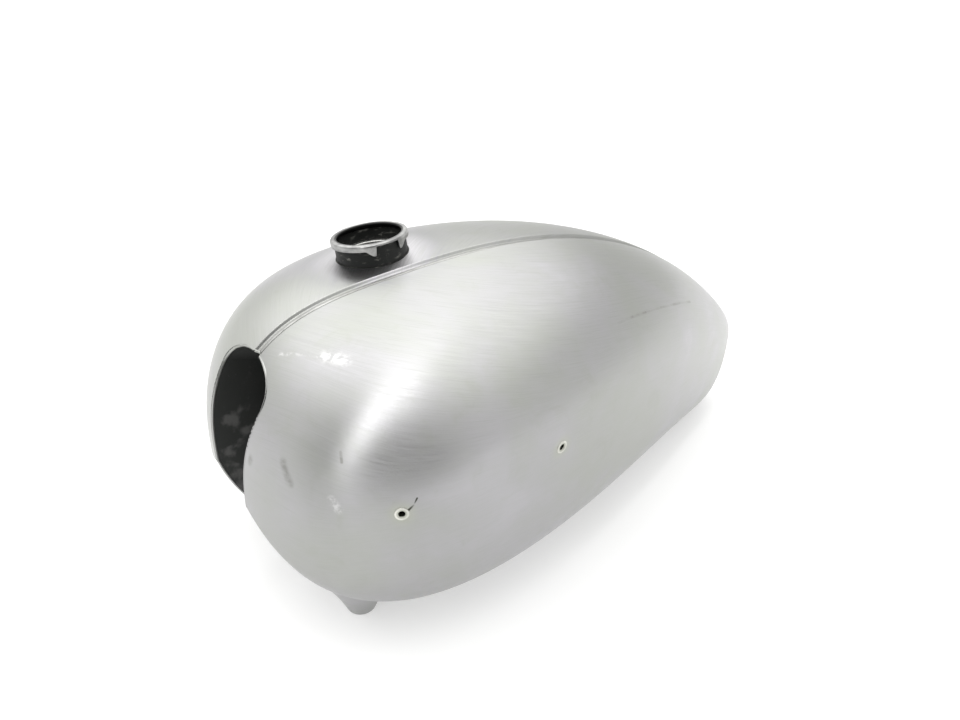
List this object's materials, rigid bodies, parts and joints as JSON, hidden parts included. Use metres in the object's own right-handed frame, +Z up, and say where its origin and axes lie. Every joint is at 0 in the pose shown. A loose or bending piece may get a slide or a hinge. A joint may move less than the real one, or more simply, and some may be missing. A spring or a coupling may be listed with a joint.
{
  "type": "motorcycle fuel tank",
  "caption": "Teardrop steel motorcycle fuel tank with a recessed centre seam, an arched frame tunnel underneath, an offset notched filler neck, badge bushes and front mounting cups.",
  "frame": {"origin": "on the plane midway between the two shells, at mid length, level with the feet of the front mounting cups and of the tap bungs", "axes": "+Z up, -Y towards the front of the motorcycle, +X towards its left side; the length lies along Y"},
  "size_m": [0.3136, 0.5486, 0.2701],
  "materials": {
    "skin_steel": "bare steel, brushed lengthwise",
    "tunnel_steel": "dark, unpolished, mottled",
    "weld_bead": "flattened weld, satin",
    "neck_black": "black, satin, scuffed",
    "rim_steel": "bright, fine turned",
    "bush_steel": "turned, satin",
    "cup_steel": "drawn, satin"
  },
  "bodies": {
    "root": {"left_shell": "skin_steel", "right_shell": "skin_steel", "tunnel": "tunnel_steel", "seam_weld": "weld_bead", "filler_neck": "neck_black", "filler_rim": "rim_steel", "filler_seat": "rim_steel", "neck_collar": "tunnel_steel", "left_front_badge_bush": "bush_steel", "left_rear_badge_bush": "bush_steel", "right_front_badge_bush": "bush_steel", "right_rear_badge_bush": "bush_steel", "left_mount_cup": "cup_steel", "right_mount_cup": "cup_steel", "left_mount_bung": "bush_steel", "right_mount_bung": "bush_steel", "left_tap_bung": "bush_steel", "right_tap_bung": "bush_steel", "rear_bridge": "tunnel_steel", "rear_bridge_nut": "bush_steel"}
  },
  "joints": []
}
